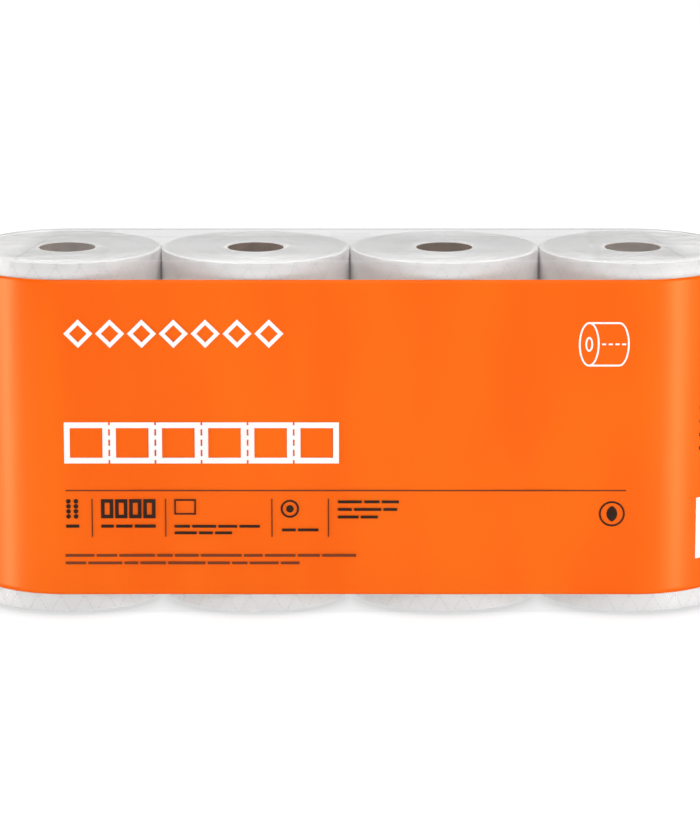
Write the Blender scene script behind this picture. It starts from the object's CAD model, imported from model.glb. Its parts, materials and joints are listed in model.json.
import json
import math

import bpy
import numpy as np
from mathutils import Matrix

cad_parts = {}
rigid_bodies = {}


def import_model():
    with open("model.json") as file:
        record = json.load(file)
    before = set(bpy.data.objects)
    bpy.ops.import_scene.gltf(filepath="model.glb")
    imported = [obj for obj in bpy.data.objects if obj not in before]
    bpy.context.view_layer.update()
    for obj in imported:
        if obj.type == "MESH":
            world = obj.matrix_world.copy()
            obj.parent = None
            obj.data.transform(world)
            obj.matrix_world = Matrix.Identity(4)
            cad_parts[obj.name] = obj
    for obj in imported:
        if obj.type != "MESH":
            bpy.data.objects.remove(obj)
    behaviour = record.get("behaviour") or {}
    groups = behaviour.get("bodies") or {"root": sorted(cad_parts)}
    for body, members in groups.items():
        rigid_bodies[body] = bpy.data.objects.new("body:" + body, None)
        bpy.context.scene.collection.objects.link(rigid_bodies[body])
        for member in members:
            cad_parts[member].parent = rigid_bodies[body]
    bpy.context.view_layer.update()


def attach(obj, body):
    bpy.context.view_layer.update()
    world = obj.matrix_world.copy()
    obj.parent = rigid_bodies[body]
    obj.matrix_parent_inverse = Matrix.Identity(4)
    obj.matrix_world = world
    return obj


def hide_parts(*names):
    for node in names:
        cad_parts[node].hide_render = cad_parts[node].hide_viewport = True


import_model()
print("frame loaded")

# main sizes in metres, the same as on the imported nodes
pack = {
    "pitch": 0.1122,
    "halfRow": 0.1683,
    "rollRadius": 0.056,
    "rollHeight": 0.105,
    "bore": 0.01765,
    "floorZ": 0.0012,
    "filmRadius": 0.0566,
    "skinLow": 0.0006,
    "skinHigh": 0.2127,
    "bend": 0.003,
    "bandRadius": 0.0569,
    "bandLow": 0.0123,
    "bandHigh": 0.2015,
}


def smooth(t):
    t = np.clip(t, 0, 1)
    return t * t * (3 - 2 * t)


# outline of the pack in plan: a point on the middle line and the outward normal for each step round it
def outline(straight, arc):
    half = pack["halfRow"]
    centres, normals = [], []
    for k in range(straight):
        centres.append((-half + 2 * half * k / straight, 0))
        normals.append((0, -1))
    for k in range(arc):
        a = -math.pi / 2 + math.pi * k / arc
        centres.append((half, 0))
        normals.append((math.cos(a), math.sin(a)))
    for k in range(straight):
        centres.append((half - 2 * half * k / straight, 0))
        normals.append((0, 1))
    for k in range(arc):
        a = math.pi / 2 + math.pi * k / arc
        centres.append((-half, 0))
        normals.append((math.cos(a), math.sin(a)))
    return np.array(centres), np.array(normals)


def meshObject(name, verts, faces, material, flat=False):
    mesh = bpy.data.meshes.new(name)
    mesh.from_pydata([tuple(map(float, v)) for v in verts], [], faces)
    mesh.validate()
    if not flat:
        mesh.shade_smooth()
    obj = bpy.data.objects.new(name, mesh)
    bpy.context.scene.collection.objects.link(obj)
    obj.data.materials.append(material)
    return obj


def joinAll(name, objects):
    bpy.ops.object.select_all(action="DESELECT")
    for obj in objects:
        obj.select_set(True)
    bpy.context.view_layer.objects.active = objects[0]
    if len(objects) > 1:
        bpy.ops.object.join()
    objects[0].name = name
    objects[0].data.name = name
    return objects[0]


# rings of one length stitched into a tube, closed end to end when loop is set
def stitch(rows, count, loop=False):
    faces = []
    for r in range(rows if loop else rows - 1):
        a = r * count
        b = (r + 1) % rows * count
        for k in range(count):
            j = (k + 1) % count
            faces.append((a + k, a + j, b + j, b + k))
    return faces


class Shader:
    def __init__(self, name):
        self.material = bpy.data.materials.new(name)
        self.material.use_nodes = True
        self.nodes = self.material.node_tree.nodes
        self.links = self.material.node_tree.links
        self.main = self.nodes["Principled BSDF"]
        self.place = self.add("ShaderNodeTexCoord").outputs["Object"]

    def add(self, kind, **settings):
        node = self.nodes.new(kind)
        for key, value in settings.items():
            setattr(node, key, value)
        return node

    def link(self, source, target):
        self.links.new(source, target)

    def value(self, target, source):
        if hasattr(source, "is_linked"):
            self.link(source, target)
        else:
            target.default_value = source

    def math(self, operation, a, b=0.0):
        node = self.add("ShaderNodeMath", operation=operation)
        self.value(node.inputs[0], a)
        self.value(node.inputs[1], b)
        return node.outputs[0]

    def inverse(self, source):
        return self.math("SUBTRACT", 1.0, source)

    def length(self, a, b):
        return self.math("SQRT", self.math("ADD", self.math("MULTIPLY", a, a), self.math("MULTIPLY", b, b)))

    def split(self):
        node = self.add("ShaderNodeSeparateXYZ")
        self.link(self.place, node.inputs[0])
        return node.outputs

    def noise(self, scale, detail=3.0, rough=0.5, stretch=None):
        node = self.add("ShaderNodeTexNoise")
        node.inputs["Scale"].default_value = scale
        node.inputs["Detail"].default_value = detail
        node.inputs["Roughness"].default_value = rough
        source = self.place
        if stretch:
            mapping = self.add("ShaderNodeMapping")
            mapping.inputs["Scale"].default_value = stretch
            self.link(self.place, mapping.inputs["Vector"])
            source = mapping.outputs[0]
        self.link(source, node.inputs["Vector"])
        return node.outputs["Fac"]

    def blend(self, factor, low, high):
        node = self.add("ShaderNodeMix", data_type="RGBA")
        self.value(node.inputs["Factor"], factor)
        for socket, source in ((node.inputs["A"], low), (node.inputs["B"], high)):
            if hasattr(source, "is_linked"):
                self.link(source, socket)
            else:
                socket.default_value = (*source, 1)
        return node.outputs["Result"]

    def ramp(self, source, low, high):
        node = self.add("ShaderNodeMapRange", interpolation_type="SMOOTHSTEP")
        self.link(source, node.inputs["Value"])
        node.inputs["From Min"].default_value = low
        node.inputs["From Max"].default_value = high
        return node.outputs["Result"]

    def range(self, source, low, high):
        node = self.add("ShaderNodeMapRange")
        self.link(source, node.inputs["Value"])
        node.inputs["To Min"].default_value = low
        node.inputs["To Max"].default_value = high
        return node.outputs["Result"]

    def bump(self, height, distance, strength=1.0, after=None):
        node = self.add("ShaderNodeBump")
        node.inputs["Strength"].default_value = strength
        node.inputs["Distance"].default_value = distance
        self.link(height, node.inputs["Height"])
        if after:
            self.link(after, node.inputs["Normal"])
        return node.outputs["Normal"]

    def set(self, **sockets):
        for key, source in sockets.items():
            socket = self.main.inputs[key.replace("_", " ")]
            if hasattr(source, "is_linked"):
                self.link(source, socket)
            elif isinstance(source, tuple):
                socket.default_value = (*source, 1)
            else:
                socket.default_value = source


# distance along x from the middle of the nearest roll
def rollOffset(shader, x):
    shifted = shader.math("ADD", x, 2 * pack["pitch"])
    wrapped = shader.math("MODULO", shifted, pack["pitch"])
    return shader.math("SUBTRACT", wrapped, pack["pitch"] / 2)


def tissueMaterial():
    look = {
        "light": (0.915, 0.905, 0.9),
        "shade": (0.88, 0.868, 0.861),
        "pressed": (0.5, 0.48, 0.46),
        "press": 0.34,
        "dots": 0.0014,
        "wide": 0.014,
        "tall": 0.022,
        "turn": 0.0011,
        "rim": 0.2108,
        "rimTone": (0.6, 0.592, 0.586),
        "rimRadius": (0.0538, 0.0552),
    }
    s = Shader("tissuePaper")
    x, y, z = s.split()
    near = rollOffset(s, x)
    angle = s.math("ARCTAN2", y, near)
    along = s.math("MULTIPLY", angle, pack["rollRadius"])
    radius = s.length(near, y)
    across = s.math("PINGPONG", along, look["wide"] / 2)
    rise = s.math("MULTIPLY", across, look["tall"] / look["wide"])  # zigzag lines that cross as diamonds
    lineUp = s.math("PINGPONG", s.math("ADD", z, rise), look["tall"] / 2)
    lineDown = s.math("PINGPONG", s.math("SUBTRACT", z, rise), look["tall"] / 2)
    onLine = s.inverse(s.ramp(s.math("MINIMUM", lineUp, lineDown), 0.0001, 0.0006))
    dots = s.ramp(s.math("PINGPONG", along, look["dots"] / 2), 0.0002, 0.0005)
    side = s.ramp(radius, pack["rollRadius"] - 0.0015, pack["rollRadius"] - 0.0006)
    press = s.math("MULTIPLY", s.math("MULTIPLY", onLine, dots), side)
    turns = s.math("MULTIPLY", radius, 2 * math.pi / look["turn"])
    wound = s.math("SINE", s.math("ADD", turns, s.math("MULTIPLY", s.noise(60, 2), 9.0)))
    ends = s.math("MULTIPLY", s.range(wound, 0.0, 0.5), s.inverse(side))
    normal = s.bump(s.noise(900, 4, 0.6), 0.00012, 0.5)
    normal = s.bump(ends, 0.00025, 0.5, normal)
    normal = s.bump(s.math("MULTIPLY", press, -1.0), 0.0004, 0.8, normal)
    tone = s.blend(s.ramp(s.noise(35, 3), 0.3, 0.7), look["shade"], look["light"])
    tone = s.blend(s.math("MULTIPLY", press, look["press"]), tone, look["pressed"])
    nearRim = s.range(s.ramp(z, look["rim"] - 0.0075, look["rim"]), 0.0, 0.48)
    atRim = s.range(s.ramp(z, look["rim"] - 0.0012, look["rim"]), 0.0, 0.24)
    worn = s.math("MULTIPLY", s.math("ADD", nearRim, atRim), s.ramp(radius, *look["rimRadius"]))
    tone = s.blend(worn, tone, look["rimTone"])  # rim without a bright line
    s.set(Base_Color=tone, Roughness=0.95, Normal=normal)
    s.main.inputs["Specular IOR Level"].default_value = 0.15
    s.main.inputs["Sheen Weight"].default_value = 0.15
    s.main.inputs["Subsurface Weight"].default_value = 0.65
    s.main.inputs["Subsurface Radius"].default_value = (1.0, 1.0, 1.0)
    s.main.inputs["Subsurface Scale"].default_value = 0.007
    return s.material


def boardMaterial():
    look = {
        "light": (0.47, 0.29, 0.185),
        "dark": (0.32, 0.195, 0.12),
        "grain": (0.36, 0.27, 0.2),
        "seam": (0.11, 0.075, 0.055),
        "cut": (0.84, 0.79, 0.74),
        "cutRadius": (0.01668, 0.01676),
        "lead": 0.075,
    }
    s = Shader("coreBoard")
    x, y, z = s.split()
    near = rollOffset(s, x)
    angle = s.math("DIVIDE", s.math("ARCTAN2", y, near), 2 * math.pi)
    wrap = s.math("SUBTRACT", s.math("DIVIDE", z, look["lead"]), angle)
    groove = s.inverse(s.ramp(s.math("PINGPONG", wrap, 0.5), 0.004, 0.014))
    grain = s.noise(420, 5, 0.65)
    tone = s.blend(s.ramp(s.noise(70, 3), 0.3, 0.7), look["dark"], look["light"])
    tone = s.blend(s.math("MULTIPLY", grain, 0.35), tone, look["grain"])
    tone = s.blend(s.math("MULTIPLY", groove, 0.6), tone, look["seam"])
    tone = s.blend(s.ramp(s.length(near, y), *look["cutRadius"]), tone, look["cut"])  # pale cut edge
    normal = s.bump(grain, 0.0002, 0.5)
    normal = s.bump(s.math("MULTIPLY", groove, -1.0), 0.0004, 0.8, normal)
    s.set(Base_Color=tone, Roughness=0.88, Normal=normal)
    s.main.inputs["Specular IOR Level"].default_value = 0.2
    return s.material


def bandMaterial():
    look = {"ink": (0.99, 0.139, 0.0002), "deep": (0.98, 0.116, 0.0001)}
    s = Shader("bandPrint")
    cloud = s.noise(22, 2, 0.4, (1.0, 1.0, 0.3))
    pull = s.noise(26, 4, 0.55, (1.0, 1.0, 0.22))
    grain = s.noise(1500, 2)
    tone = s.blend(s.ramp(cloud, 0.3, 0.72), look["deep"], look["ink"])
    normal = s.bump(pull, 0.0016, 0.3)
    normal = s.bump(grain, 0.00004, 0.3, normal)
    s.set(Base_Color=tone, Roughness=s.range(cloud, 0.3, 0.4), Normal=normal)
    s.main.inputs["Specular IOR Level"].default_value = 0.62
    s.main.inputs["Specular Tint"].default_value = (1.0, 0.85, 0.34, 1.0)
    return s.material


# pale under-print, seen through the clear film from inside
def underPrintMaterial():
    s = Shader("underPrint")
    cloud = s.noise(60, 3)
    s.set(Base_Color=s.blend(cloud, (0.94, 0.55, 0.42), (0.97, 0.6, 0.47)), Roughness=0.5)
    return s.material


def inkMaterial(name, low, high, thin=None):
    s = Shader(name)
    z = s.split()["Z"]
    cloud = s.noise(40, 3)
    grain = s.noise(1600, 2)
    tone = s.blend(s.ramp(cloud, 0.3, 0.7), low, high)
    if thin:  # the rule and the lowest lines of print are lighter
        small = s.inverse(s.ramp(z, thin["below"], thin["below"] + 0.001))
        offRule = s.math("ABSOLUTE", s.math("SUBTRACT", z, thin["rule"]))
        fine = s.inverse(s.ramp(offRule, 0.001, 0.0015))
        tone = s.blend(s.math("MAXIMUM", small, fine), tone, thin["tone"])
    s.set(Base_Color=tone, Roughness=s.range(grain, 0.36, 0.46), Normal=s.bump(grain, 0.00004, 0.3))
    s.main.inputs["Specular IOR Level"].default_value = 0.35
    return s.material


# folded flaps in plan: how far each reaches from its own rim, and how its ends slant
flaps = {"front": 0.080, "back": 0.078, "rim": 0.029, "slope": 0.22, "gusset": 0.1429}


# film with more haze where its flaps lie over each other, and a fine line along their edges
def filmMaterial():
    look = {
        "tone": (0.5, 0.505, 0.51),
        "lap": (0.33, 0.335, 0.34),
        "milk": (0.54, 0.54, 0.54),
        "creased": (0.12, 0.12, 0.125),
        "wall": 0.11,
        "flat": 0.08,
        "flap": 0.025,
        "lapped": 0.12,
        "edge": 0.02,
        "crease": 0.1,
        "tuck": 0.09,
        "onBase": 0.2,
        "onSeam": 0.15,
        "seam": (0.0122, 0.0132),
        "glance": 0.3,
        "gloss": 0.09,
        "bending": 1.22,
    }
    s = Shader("clearFilm")
    x, y, z = s.split()
    far = s.math("ABSOLUTE", x)
    offMiddle = s.math("ABSOLUTE", s.math("SUBTRACT", z, (pack["skinHigh"] + pack["skinLow"]) / 2))
    flat = s.ramp(offMiddle, (pack["skinHigh"] - pack["skinLow"]) / 2 - 0.0012, 0.10605)
    onTop = s.math("MULTIPLY", flat, s.ramp(z, 0.05, 0.06))
    onBase = s.math("SUBTRACT", flat, onTop)

    waver = s.range(s.noise(22, 3), -0.0022, 0.0022)
    depths = []
    for side in (1.0, -1.0):
        depth = s.math("ADD", s.math("MULTIPLY", y, side), pack["filmRadius"])
        depths.append(s.math("ADD", depth, waver))
    slants = s.math("ADD", far, s.math("MULTIPLY", depths[0], flaps["slope"]))
    toEnd = s.math("SUBTRACT", pack["halfRow"] + flaps["rim"], slants)
    masks, lines = [], []
    for depth, reach in zip(depths, (flaps["front"], flaps["back"])):
        inward = s.math("MINIMUM", s.math("SUBTRACT", reach, depth), toEnd)
        masks.append(s.ramp(inward, -0.014, 0.002))
        lines.append(s.inverse(s.ramp(s.math("ABSOLUTE", inward), 0.0002, 0.0011)))
    covered = s.math("MAXIMUM", *masks)
    doubled = s.math("MINIMUM", *masks)
    edges = s.math("MAXIMUM", *lines)
    crease = s.inverse(s.ramp(s.math("ABSOLUTE", toEnd), 0.0002, 0.0012))
    crease = s.math("MULTIPLY", crease, s.inverse(s.ramp(y, -0.005, 0.035)))  # strongest in front
    tucked = s.ramp(far, flaps["gusset"] - 0.003, flaps["gusset"] + 0.003)

    layers = s.math("MULTIPLY", covered, look["flap"])
    for mask, share in (
        (masks[1], look["lapped"]),
        (edges, look["edge"]),
        (crease, look["crease"]),
        (tucked, look["tuck"]),
    ):
        layers = s.math("ADD", layers, s.math("MULTIPLY", mask, share))
    alpha = s.math("ADD", s.math("MULTIPLY", layers, onTop), s.range(onTop, look["wall"], look["flat"]))
    alpha = s.math("MULTIPLY", alpha, s.range(onBase, 1.0, look["onBase"]))
    behind = s.ramp(y, pack["filmRadius"] - 0.0002, pack["filmRadius"])
    atSeam = s.math("MAXIMUM", s.math("SUBTRACT", behind, s.ramp(far, *look["seam"])), 0.0)
    alpha = s.math("MULTIPLY", alpha, s.range(atSeam, 1.0, look["onSeam"]))
    pull = s.noise(40, 4, 0.55, (0.25, 1.0, 1.0))
    fine = s.noise(160, 3, 0.5, (0.4, 1.0, 1.0))
    alpha = s.math("MULTIPLY", alpha, s.range(pull, 0.8, 1.2))

    normal = s.bump(pull, 0.0018, 0.35)
    normal = s.bump(fine, 0.0003, 0.3, normal)
    tone = s.blend(s.math("MULTIPLY", doubled, flat), look["tone"], look["lap"])
    tone = s.blend(s.math("MULTIPLY", tucked, flat), tone, look["milk"])
    tone = s.blend(s.math("MULTIPLY", crease, 0.7), tone, look["creased"])
    s.set(Base_Color=tone, Roughness=s.range(fine, 0.08, 0.2), Normal=normal, Alpha=alpha)
    shine = s.add("ShaderNodeBsdfGlossy")
    shine.inputs["Roughness"].default_value = look["gloss"]
    s.link(normal, shine.inputs["Normal"])
    glance = s.add("ShaderNodeFresnel")
    glance.inputs["IOR"].default_value = look["bending"]
    s.link(normal, glance.inputs["Normal"])
    both = s.add("ShaderNodeMixShader")
    s.link(s.math("MULTIPLY", glance.outputs[0], s.range(onBase, look["glance"], 0.0)), both.inputs[0])
    s.link(s.main.outputs[0], both.inputs[1])
    s.link(shine.outputs[0], both.inputs[2])
    s.link(both.outputs[0], s.nodes["Material Output"].inputs["Surface"])
    return s.material


tissue = tissueMaterial()
board = boardMaterial()
bandInk = bandMaterial()
underPrint = underPrintMaterial()
whiteInk = inkMaterial("whitePrint", (0.93, 0.93, 0.92), (0.97, 0.97, 0.96))
faint = {"below": 0.0385, "rule": 0.0754, "tone": (0.2, 0.042, 0.01)}
darkInk = inkMaterial("darkPrint", (0.03, 0.014, 0.008), (0.045, 0.022, 0.012), faint)
clearFilm = filmMaterial()
print("materials made")


# how far the wall of the film and band moves outwards, from place along the pack and height
def wallRelief(x, y, z):
    dents = {"sag": 0.00012, "reach": 0.13, "slack": 0.00022}
    dents |= {"fold": 0.0002, "foldX": 0.1063, "foldWide": 0.004}
    front = smooth((np.abs(y) - 0.05) / 0.006)
    between = np.cos(2 * math.pi * x / pack["pitch"])
    moved = -dents["sag"] * (1 + between) * front * (np.abs(x) < dents["reach"])
    moved = moved - dents["fold"] * np.exp(-(((x - dents["foldX"]) / dents["foldWide"]) ** 2)) * (y < 0)
    for cx, cz, slope in ((0.137, 0.0185, 0.1), (-0.087, 0.0175, -0.12)):
        bent = z - cz - slope * (x - cx)
        long = np.exp(-(((x - cx) / 0.014) ** 2))
        moved = moved - dents["slack"] * np.exp(-((bent / 0.0018) ** 2)) * long * (y < 0)
    return moved


# relief of the flat top or base, with the fan of pleats at each rounded end
def faceRelief(x, y):
    folds = {"pleat": 0.0005, "wave": 0.00012, "step": 0.00014, "edge": 0.0006, "middle": 0.012}
    reach = np.abs(x) - pack["halfRow"]
    angle = np.arctan2(y, np.maximum(reach + folds["middle"], 1e-6))
    radius = np.hypot(reach + folds["middle"], y)
    fan = np.abs(np.sin(angle * 7.5 + 0.9 * np.sin(3 * angle))) ** 6
    grow = smooth((radius - 0.018) / 0.03) * smooth(reach / 0.02)
    wave = np.sin(46 * x + 3 * np.sin(31 * x)) * np.sin(90 * y + 7 * x)
    steps = 0.0
    for side, deep in ((1, flaps["front"]), (-1, flaps["back"])):
        depth = side * y + pack["filmRadius"]
        toEnd = flaps["rim"] - flaps["slope"] * depth - reach
        steps = steps + smooth(np.minimum(deep - depth, toEnd) / folds["edge"] + 0.5)
    return folds["pleat"] * fan * grow + folds["wave"] * wave + folds["step"] * steps


def buildWrap():
    wrap = {"straight": 168, "arc": 92, "rings": 30, "rows": 22, "corner": 6}
    centres, normals = outline(wrap["straight"], wrap["arc"])
    outer, bend = pack["filmRadius"], pack["bend"]
    low, high = pack["skinLow"], pack["skinHigh"]
    profile = []
    rings = [(outer - bend) * (k + 0.02) / wrap["rings"] for k in range(wrap["rings"])]
    for reach in (flaps["front"], flaps["back"]):  # rings on both sides of each flap's straight edge
        rings += [reach - outer - 0.0003, reach - outer + 0.0003]
    rings.sort()
    for radius in rings:
        profile.append((radius, low, "low"))
    for k in range(wrap["corner"] + 1):
        a = math.pi / 2 * k / wrap["corner"]
        profile.append((outer - bend + bend * math.sin(a), low + bend - bend * math.cos(a), "side"))
    for k in range(1, wrap["rows"]):
        profile.append((outer, low + bend + (high - low - 2 * bend) * k / wrap["rows"], "side"))
    for k in range(wrap["corner"] + 1):
        a = math.pi / 2 * k / wrap["corner"]
        profile.append((outer - bend + bend * math.cos(a), high - bend + bend * math.sin(a), "side"))
    for radius in reversed(rings):
        profile.append((radius, high, "high"))
    verts = []
    for radius, z, part in profile:
        points = centres + normals * radius
        x, y = points[:, 0], points[:, 1]
        if part == "side":
            points = points + normals * wallRelief(x, y, z)[:, None]
            heights = np.full(len(points), z)
        else:
            ease = smooth((outer - bend - radius) / 0.004)
            side = 1 if part == "high" else -0.4
            heights = z + side * faceRelief(x, y) * ease
        verts += list(zip(points[:, 0], points[:, 1], heights))
    count, rows = len(centres), len(profile)
    faces = stitch(rows, count)
    half, arc = wrap["straight"], wrap["arc"]
    for start, flip in ((0, False), ((rows - 1) * count, True)):
        strip = []  # closes the narrow slot along the middle line
        for k in range(half):
            a, b = start + k, start + k + 1
            c = start + (2 * half + arc - k - 1) % count
            d = start + (2 * half + arc - k) % count
            strip.append((a, d, c, b) if not flip else (a, b, c, d))
        faces += strip
        east = [start + half + k for k in range(arc + 1)]
        west = [start + (2 * half + arc + k) % count for k in range(arc + 1)]
        for cap in (east, west):
            faces.append(tuple(reversed(cap)) if not flip else tuple(cap))
    return meshObject("wrapSkin", verts, faces, clearFilm)


# upright lap seam on the back, above and below the band as well
def buildSeam():
    seam = {"half": 0.012, "thin": 0.0001, "rows": 60}
    low, high = pack["skinLow"] + pack["bend"], pack["skinHigh"] - pack["bend"]
    verts = []
    for k in range(seam["rows"] + 1):
        z = low + (high - low) * k / seam["rows"]
        sway = 0.0003 * math.sin(60 * z)
        y = pack["filmRadius"] + 0.00002
        for sideways, out in ((-1, 0), (1, 0), (1, seam["thin"]), (-1, seam["thin"])):
            verts.append((sideways * seam["half"] + sway, y + out, z))
    faces = [tuple(reversed(f)) for f in stitch(seam["rows"] + 1, 4)]
    top = seam["rows"] * 4
    faces += [(0, 1, 2, 3)[::-1], (top, top + 1, top + 2, top + 3)]
    return meshObject("wrapSeam", verts, faces, clearFilm, flat=True)


film = joinAll("filmWrap", [buildWrap(), buildSeam()])
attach(film, "root")
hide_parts("film_wrap")
print("film made")


def buildBand():
    band = {"straight": 168, "arc": 92, "rows": 72, "seam": 0.012}
    centres, normals = outline(band["straight"], band["arc"])
    low, high = pack["bandLow"], pack["bandHigh"]
    verts = []
    levels = [low + (high - low) * k / band["rows"] for k in range(band["rows"] + 1)]
    inner = pack["filmRadius"] + 0.00008
    for radius, heights in ((pack["bandRadius"], levels), (inner, levels[::-1])):
        for z in heights:
            points = centres + normals * radius
            x, y = points[:, 0], points[:, 1]
            lap = 0.0003 * smooth((band["seam"] - np.abs(x)) / 0.001) * (y > 0)
            points = points + normals * (wallRelief(x, y, z) + lap)[:, None]
            verts += [(px, py, z) for px, py in points]
    faces = stitch(2 * len(levels), len(centres), loop=True)
    made = meshObject("printedBand", verts, faces, bandInk)
    made.data.materials.append(underPrint)
    first, last = (len(levels) - 1) * len(centres), (2 * len(levels) - 1) * len(centres)
    for face in made.data.polygons:
        face.material_index = int(first <= face.index < last)
    return made


printed = buildBand()
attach(printed, "root")
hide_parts("printed_band")
for node, ink in (("white_marks", whiteInk), ("dark_marks", darkInk)):
    marks = bpy.data.objects[node]
    marks.data.materials.clear()
    marks.data.materials.append(ink)
print("band and print made")


# spiral edge of the wound sheet on one end of a roll
def spiralTurns():
    tree = bpy.data.node_groups.new("woundTurns", "GeometryNodeTree")
    face = tree.interface
    face.new_socket("Geometry", in_out="INPUT", socket_type="NodeSocketGeometry")
    face.new_socket("Turns", in_out="INPUT", socket_type="NodeSocketFloat")
    face.new_socket("Inside", in_out="INPUT", socket_type="NodeSocketFloat")
    face.new_socket("Outside", in_out="INPUT", socket_type="NodeSocketFloat")
    face.new_socket("Thickness", in_out="INPUT", socket_type="NodeSocketFloat")
    face.new_socket("Paper", in_out="INPUT", socket_type="NodeSocketMaterial")
    face.new_socket("Geometry", in_out="OUTPUT", socket_type="NodeSocketGeometry")
    start = tree.nodes.new("NodeGroupInput")
    end = tree.nodes.new("NodeGroupOutput")
    spiral = tree.nodes.new("GeometryNodeCurveSpiral")
    spiral.inputs["Resolution"].default_value = 72
    spiral.inputs["Height"].default_value = 0.0
    edge = tree.nodes.new("GeometryNodeCurvePrimitiveCircle")
    edge.inputs["Resolution"].default_value = 4
    sweep = tree.nodes.new("GeometryNodeCurveToMesh")
    real = tree.nodes.new("GeometryNodeRealizeInstances")
    paper = tree.nodes.new("GeometryNodeSetMaterial")
    link = tree.links.new
    link(start.outputs["Turns"], spiral.inputs["Rotations"])
    link(start.outputs["Inside"], spiral.inputs["Start Radius"])
    link(start.outputs["Outside"], spiral.inputs["End Radius"])
    link(start.outputs["Thickness"], edge.inputs["Radius"])
    link(spiral.outputs["Curve"], sweep.inputs["Curve"])
    link(edge.outputs["Curve"], sweep.inputs["Profile Curve"])
    sweep.inputs["Fill Caps"].default_value = True
    link(sweep.outputs["Mesh"], real.inputs["Geometry"])
    link(real.outputs["Geometry"], paper.inputs["Geometry"])
    link(start.outputs["Paper"], paper.inputs["Material"])
    link(paper.outputs["Geometry"], end.inputs["Geometry"])
    return tree


turnsTree = spiralTurns()


def madeFrom(name, tree, settings):
    holder = bpy.data.objects.new(name, bpy.data.meshes.new(name))
    bpy.context.scene.collection.objects.link(holder)
    modifier = holder.modifiers.new("nodes", "NODES")
    modifier.node_group = tree
    for item in tree.interface.items_tree:
        if item.in_out == "INPUT" and item.name in settings:
            modifier[item.identifier] = settings[item.name]
    bpy.context.view_layer.update()
    graph = bpy.context.evaluated_depsgraph_get()
    mesh = bpy.data.meshes.new_from_object(holder.evaluated_get(graph))
    holder.modifiers.clear()
    holder.data = mesh
    return holder


# one roll: wound body turned about its own upright line, slightly uneven like soft paper
def buildRoll(name, cx, low, seed, openEnd):
    roll = {"around": 128, "edge": 0.0008, "turns": 26, "thin": 0.00022, "sunk": 0.00015}
    outer, bore, height = pack["rollRadius"], pack["bore"], pack["rollHeight"]
    edge = roll["edge"]
    profile = [(bore, edge)]
    for k in range(1, 4):
        a = math.pi / 2 * k / 4
        profile.append((bore + 0.0006 * (1 - math.cos(a)), edge * (1 - math.sin(a))))
    for k in range(15):
        profile.append((bore + 0.0008 + (outer - bore - edge - 0.0008) * k / 14, 0.0))
    for k in range(1, 5):
        a = math.pi / 2 * k / 4
        profile.append((outer - edge + edge * math.sin(a), edge - edge * math.cos(a)))
    for k in range(1, 14):
        profile.append((outer, edge + (height - 2 * edge) * k / 14))
    profile += [(r, height - z) for r, z in reversed(profile[:22])]
    verts = []
    for r, z in profile:
        share = (r - bore) / (outer - bore)
        for k in range(roll["around"]):
            a = 2 * math.pi * k / roll["around"]
            dent = 0.00015 * math.sin(3 * a + seed) * share * (1 - share)
            dip = 0.0001 * math.sin(9 * share + 2 * a + seed)
            lift = -abs(dip + dent) if z > height - 1e-6 else abs(dip + dent) if z < 1e-6 else 0.0
            soft = -0.00012 * (1 + math.sin(2 * a + seed + 30 * z)) * share * math.sin(a) ** 2
            verts.append((cx + (r + soft) * math.cos(a), (r + soft) * math.sin(a), low + z + lift))
    body = meshObject(name, verts, stitch(len(profile), roll["around"], loop=True), tissue)
    settings = {
        "Turns": float(roll["turns"]),
        "Inside": bore + 0.002,
        "Outside": outer - 0.002,
        "Thickness": roll["thin"],
        "Paper": tissue,
    }
    coil = madeFrom(f"{name}Turns", turnsTree, settings)
    z = low + height if openEnd == "top" else low
    for vert in coil.data.vertices:
        vert.co.x += cx
        vert.co.z += z - (roll["sunk"] if openEnd == "top" else -roll["sunk"])
    whole = joinAll(name, [body, coil])
    for polygon in whole.data.polygons:
        polygon.material_index = 0
    while len(whole.data.materials) > 1:
        whole.data.materials.pop(index=len(whole.data.materials) - 1)
    return whole


for layer, word in enumerate(("lower", "upper")):
    for i in range(4):
        cx = -pack["halfRow"] + i * pack["pitch"]
        low = pack["floorZ"] + layer * pack["rollHeight"]
        name = f"{word}Roll{i + 1}"
        made = buildRoll(name, cx, low, 1.7 * i + 4.1 * layer, "top" if layer else "base")
        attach(made, "root")
        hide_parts(f"{word}_roll_{i + 1}")
        core = bpy.data.objects[f"{word}_core_{i + 1}"]
        core.data.materials.clear()
        core.data.materials.append(board)
print("rolls and cores made")


# pale floor that darkens softly where a roll stands on it
def floorMaterial():
    look = {"low": (0.13, 0.13, 0.13), "high": (0.15, 0.15, 0.15), "emission": 0.96, "touch": 0.36, "fade": 0.011}
    s = Shader("paleFloor")
    x, y, z = s.split()
    inRow = s.math("MINIMUM", s.math("MAXIMUM", x, -pack["halfRow"]), pack["halfRow"])
    near = s.math("ADD", rollOffset(s, inRow), s.math("SUBTRACT", x, inRow))
    gap = s.math("MAXIMUM", s.math("SUBTRACT", s.length(near, y), pack["rollRadius"]), 0.0)
    shadow = s.math("EXPONENT", s.math("DIVIDE", gap, -look["fade"]))
    glow = s.math("MULTIPLY", s.inverse(s.math("MULTIPLY", shadow, look["touch"])), look["emission"])
    s.set(Base_Color=s.blend(s.noise(3, 2), look["low"], look["high"]), Roughness=0.9)
    s.main.inputs["Specular IOR Level"].default_value = 0.0
    s.main.inputs["Emission Color"].default_value = (1, 1, 1, 1)
    s.link(glow, s.main.inputs["Emission Strength"])
    return s.material


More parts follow.
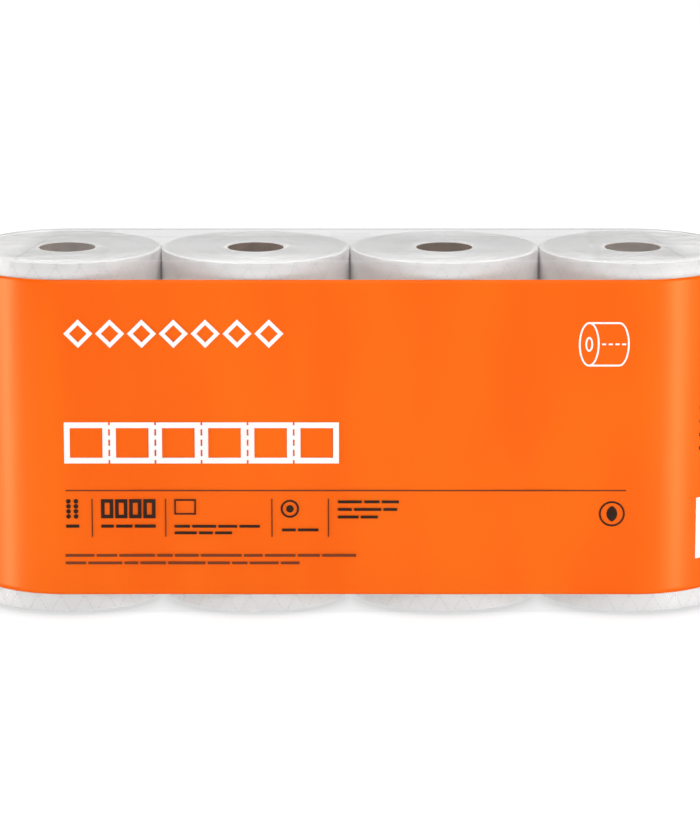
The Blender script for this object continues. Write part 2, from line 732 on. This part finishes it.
floor = meshObject(
    "floor", [(-9, -9, 0), (9, -9, 0), (9, 9, 0), (-9, 9, 0)], [(0, 1, 2, 3)], floorMaterial(), flat=True
)
floor.visible_glossy = False
floor.visible_shadow = False


def areaLight(name, place, aim, wide, tall, power):
    data = bpy.data.lights.new(name, "AREA")
    data.shape = "RECTANGLE"
    data.size = wide
    data.size_y = tall
    data.energy = power
    light = bpy.data.objects.new(name, data)
    bpy.context.scene.collection.objects.link(light)
    light.location = place
    toward = np.array(aim) - np.array(place)
    flat = math.hypot(toward[0], toward[1])
    light.rotation_euler = (math.atan2(flat, -toward[2]), 0, math.atan2(toward[0], -toward[1]) + math.pi)
    return light


middle = (0, 0, 0.1)
areaLight("topLight", (0, 0.45, 2.2), middle, 2.6, 2.0, 84.5)
areaLight("frontLight", (0, -2.3, 1.4), middle, 2.2, 1.2, 15.9)
areaLight("leftLight", (-2.05, -0.45, 0.2), middle, 0.5, 1.6, 20)
areaLight("rightLight", (1.7, -1.15, 0.2), middle, 0.62, 1.6, 20)
world = bpy.data.worlds.new("studio")
bpy.context.scene.world = world
world.use_nodes = True
sky = world.node_tree.nodes["Background"]
direction = world.node_tree.nodes.new("ShaderNodeTexCoord")
rise = world.node_tree.nodes.new("ShaderNodeSeparateXYZ")
fade = world.node_tree.nodes.new("ShaderNodeMapRange")
for socket, amount in {"From Min": -0.1, "From Max": 0.35, "To Min": 0.04, "To Max": 0.75}.items():
    fade.inputs[socket].default_value = amount
world.node_tree.links.new(direction.outputs["Generated"], rise.inputs[0])
world.node_tree.links.new(rise.outputs["Z"], fade.inputs["Value"])
world.node_tree.links.new(fade.outputs["Result"], sky.inputs["Strength"])
bpy.context.scene.view_settings.view_transform = "Standard"

view = {"lens": 178.9, "sensor": 36, "place": (0, -2.4487, 0.6442), "down": 12.41}
cameraData = bpy.data.cameras.new("camera")
cameraData.lens = view["lens"]
cameraData.sensor_width = view["sensor"]
cameraData.dof.use_dof = False
camera = bpy.data.objects.new("camera", cameraData)
bpy.context.scene.collection.objects.link(camera)
camera.location = view["place"]
camera.rotation_euler = (math.radians(90 - view["down"]), 0, 0)
bpy.context.scene.camera = camera
print("stage made")
